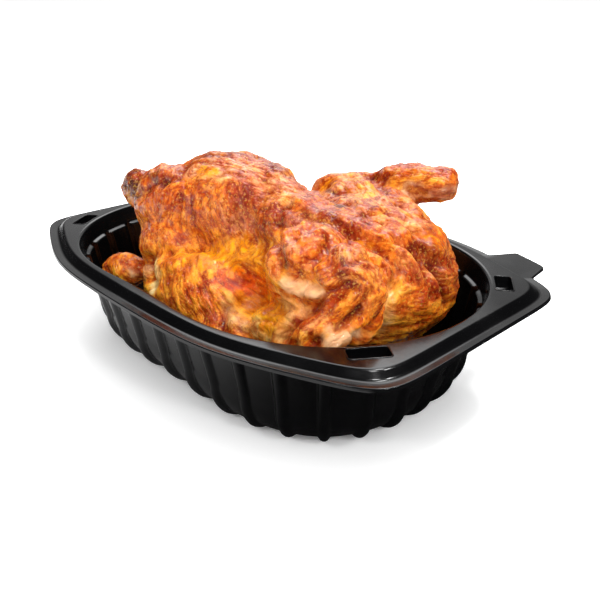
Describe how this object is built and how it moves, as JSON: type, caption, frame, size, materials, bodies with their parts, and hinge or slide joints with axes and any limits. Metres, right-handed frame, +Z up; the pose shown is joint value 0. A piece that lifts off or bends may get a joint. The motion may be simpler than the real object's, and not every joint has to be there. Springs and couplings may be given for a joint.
{
  "type": "rotisserie chicken container",
  "caption": "Black fluted plastic take-away tray with an eight-sided rim, corner lid slots and a pull tab, holding a whole roast chicken.",
  "frame": {"origin": "on the table under the middle of the tray's flat bottom", "axes": "+X along the tray's length towards the end with the pull tab, +Y across the tray towards the tab's side, +Z up"},
  "size_m": [0.2762, 0.1923, 0.1119],
  "materials": {
    "black_plastic": "glossy thermoformed black plastic",
    "roast_skin": "browned, greasy roast chicken skin, glossy, orange-brown with yellow fat and dark char"
  },
  "bodies": {
    "root": {"tray": "black_plastic", "chicken": "roast_skin"}
  },
  "joints": []
}
